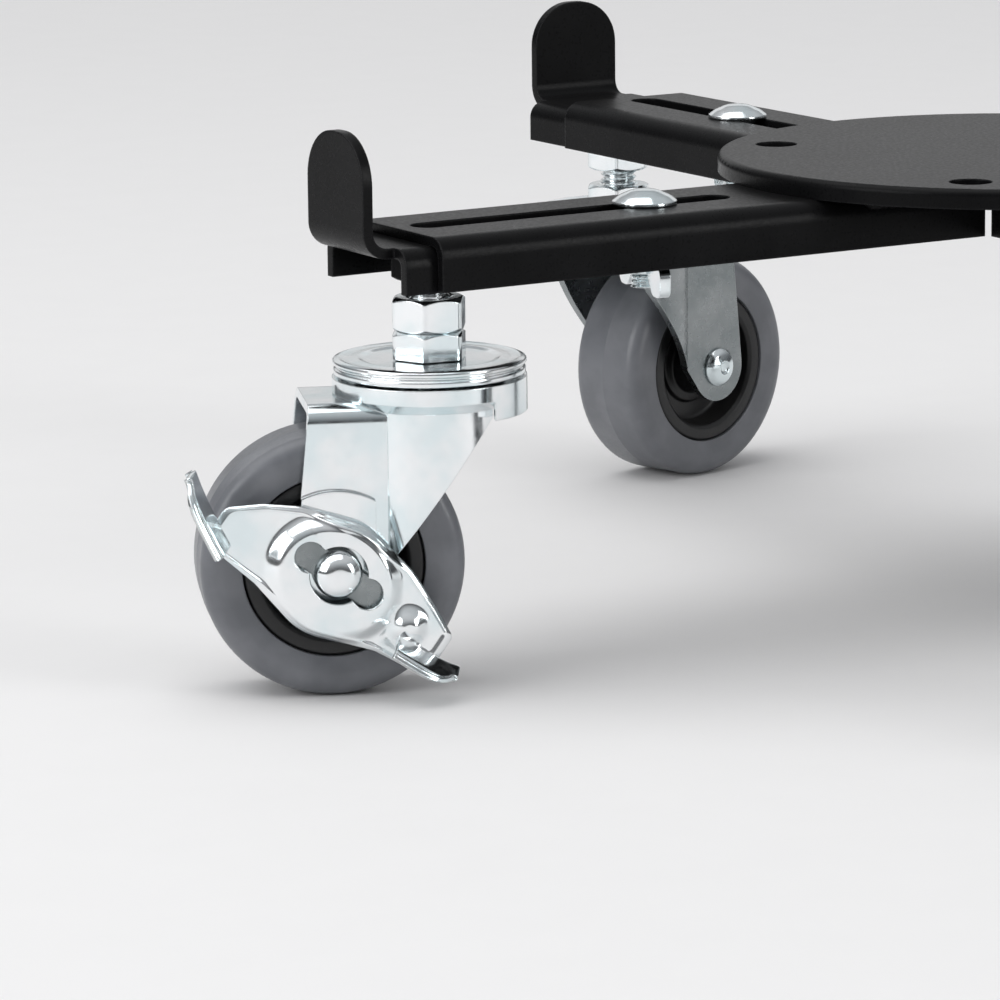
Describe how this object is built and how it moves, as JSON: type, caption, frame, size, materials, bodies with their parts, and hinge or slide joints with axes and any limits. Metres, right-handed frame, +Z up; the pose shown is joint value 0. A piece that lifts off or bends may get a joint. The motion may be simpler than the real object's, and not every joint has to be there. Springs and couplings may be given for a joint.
{
  "type": "plant pot caddy",
  "caption": "Low rolling stand for a plant pot: a round plate on telescopic channel arms with upright end tabs, each arm on a swivel caster, some braked.",
  "frame": {"origin": "on the floor under the middle of the round plate", "axes": "+Z up; arms a and d lie along X (a towards -X), arms b and c along Y (b towards +Y)"},
  "size_m": [0.375, 0.3294, 0.1064],
  "materials": {
    "black_powder_coat": "satin black powder coat",
    "bright_zinc": "bright bluish zinc plating",
    "grey_tyre": "smooth grey tread",
    "black_plastic": "moulded black centre",
    "ball_steel": "polished bearing balls"
  },
  "bodies": {
    "frame": {"top_plate": "black_powder_coat", "weld_beads": "black_powder_coat", "channel_a": "black_powder_coat", "channel_b": "black_powder_coat", "channel_c": "black_powder_coat", "channel_d": "black_powder_coat"},
    "arm_a": {"sliding_arm_a": "black_powder_coat", "clamp_bolt_a": "bright_zinc", "clamp_washer_a": "bright_zinc", "caster_stem_a": "bright_zinc", "jam_nut_a": "bright_zinc", "race_cap_a": "bright_zinc"},
    "nut_a": {"wing_nut_a": "bright_zinc"},
    "swivel_a": {"fork_a": "bright_zinc", "axle_a": "bright_zinc", "swivel_balls_a": "ball_steel"},
    "wheel_a": {"wheel_core_a": "black_plastic", "tyre_a": "grey_tyre"},
    "brake_a": {"brake_lever_a": "bright_zinc", "brake_cam_a": "bright_zinc"},
    "arm_b": {"sliding_arm_b": "black_powder_coat", "clamp_bolt_b": "bright_zinc", "clamp_washer_b": "bright_zinc", "caster_stem_b": "bright_zinc", "jam_nut_b": "bright_zinc", "race_cap_b": "bright_zinc"},
    "nut_b": {"wing_nut_b": "bright_zinc"},
    "swivel_b": {"fork_b": "bright_zinc", "axle_b": "bright_zinc", "swivel_balls_b": "ball_steel"},
    "wheel_b": {"wheel_core_b": "black_plastic", "tyre_b": "grey_tyre"},
    "arm_c": {"sliding_arm_c": "black_powder_coat", "clamp_bolt_c": "bright_zinc", "clamp_washer_c": "bright_zinc", "caster_stem_c": "bright_zinc", "jam_nut_c": "bright_zinc", "race_cap_c": "bright_zinc"},
    "nut_c": {"wing_nut_c": "bright_zinc"},
    "swivel_c": {"fork_c": "bright_zinc", "axle_c": "bright_zinc", "swivel_balls_c": "ball_steel"},
    "wheel_c": {"wheel_core_c": "black_plastic", "tyre_c": "grey_tyre"},
    "arm_d": {"sliding_arm_d": "black_powder_coat", "clamp_bolt_d": "bright_zinc", "clamp_washer_d": "bright_zinc", "caster_stem_d": "bright_zinc", "jam_nut_d": "bright_zinc", "race_cap_d": "bright_zinc"},
    "nut_d": {"wing_nut_d": "bright_zinc"},
    "swivel_d": {"fork_d": "bright_zinc", "axle_d": "bright_zinc", "swivel_balls_d": "ball_steel"},
    "wheel_d": {"wheel_core_d": "black_plastic", "tyre_d": "grey_tyre"},
    "brake_d": {"brake_lever_d": "bright_zinc", "brake_cam_d": "bright_zinc"}
  },
  "joints": [
    {"name": "arm_slide_a", "type": "slide", "parent": "frame", "child": "arm_a", "axis": [-1, 0, 0], "range_m": [-0.007, 0.046]},
    {"name": "wing_nut_turn_a", "type": "hinge", "parent": "arm_a", "child": "nut_a", "pos_m": [-0.0856, 0, 0.08], "axis": [0, 0, 1], "continuous": true},
    {"name": "caster_swivel_a", "type": "hinge", "parent": "arm_a", "child": "swivel_a", "pos_m": [-0.1335, 0, 0.0595], "axis": [0, 0, 1], "continuous": true},
    {"name": "wheel_spin_a", "type": "hinge", "parent": "swivel_a", "child": "wheel_a", "pos_m": [-0.15145, 0.00762, 0.025], "axis": [-0.3907, -0.9205, 0], "continuous": true},
    {"name": "brake_press_a", "type": "hinge", "parent": "swivel_a", "child": "brake_a", "pos_m": [-0.15145, 0.00762, 0.025], "axis": [-0.3907, -0.9205, 0], "range_deg": [0, 20]},
    {"name": "arm_slide_b", "type": "slide", "parent": "frame", "child": "arm_b", "axis": [0, 1, 0], "range_m": [-0.02, 0.034]},
    {"name": "wing_nut_turn_b", "type": "hinge", "parent": "arm_b", "child": "nut_b", "pos_m": [0, 0.0972, 0.08], "axis": [0, 0, 1], "continuous": true},
    {"name": "caster_swivel_b", "type": "hinge", "parent": "arm_b", "child": "swivel_b", "pos_m": [0, 0.1451, 0.0595], "axis": [0, 0, 1], "continuous": true},
    {"name": "wheel_spin_b", "type": "hinge", "parent": "swivel_b", "child": "wheel_b", "pos_m": [0.01896, 0.14965, 0.025], "axis": [-0.2334, 0.9724, 0], "continuous": true},
    {"name": "arm_slide_c", "type": "slide", "parent": "frame", "child": "arm_c", "axis": [0, -1, 0], "range_m": [-0.02, 0.034]},
    {"name": "wing_nut_turn_c", "type": "hinge", "parent": "arm_c", "child": "nut_c", "pos_m": [0, -0.0972, 0.08], "axis": [0, 0, 1], "continuous": true},
    {"name": "caster_swivel_c", "type": "hinge", "parent": "arm_c", "child": "swivel_c", "pos_m": [0, -0.1451, 0.0595], "axis": [0, 0, 1], "continuous": true},
    {"name": "wheel_spin_c", "type": "hinge", "parent": "swivel_c", "child": "wheel_c", "pos_m": [-0.01896, -0.14965, 0.025], "axis": [0.2334, -0.9724, 0], "continuous": true},
    {"name": "arm_slide_d", "type": "slide", "parent": "frame", "child": "arm_d", "axis": [1, 0, 0], "range_m": [-0.007, 0.046]},
    {"name": "wing_nut_turn_d", "type": "hinge", "parent": "arm_d", "child": "nut_d", "pos_m": [0.0856, 0, 0.08], "axis": [0, 0, 1], "continuous": true},
    {"name": "caster_swivel_d", "type": "hinge", "parent": "arm_d", "child": "swivel_d", "pos_m": [0.1335, 0, 0.0595], "axis": [0, 0, 1], "continuous": true},
    {"name": "wheel_spin_d", "type": "hinge", "parent": "swivel_d", "child": "wheel_d", "pos_m": [0.15145, -0.00762, 0.025], "axis": [0.3907, 0.9205, 0], "continuous": true},
    {"name": "brake_press_d", "type": "hinge", "parent": "swivel_d", "child": "brake_d", "pos_m": [0.15145, -0.00762, 0.025], "axis": [0.3907, 0.9205, 0], "range_deg": [0, 20]}
  ]
}
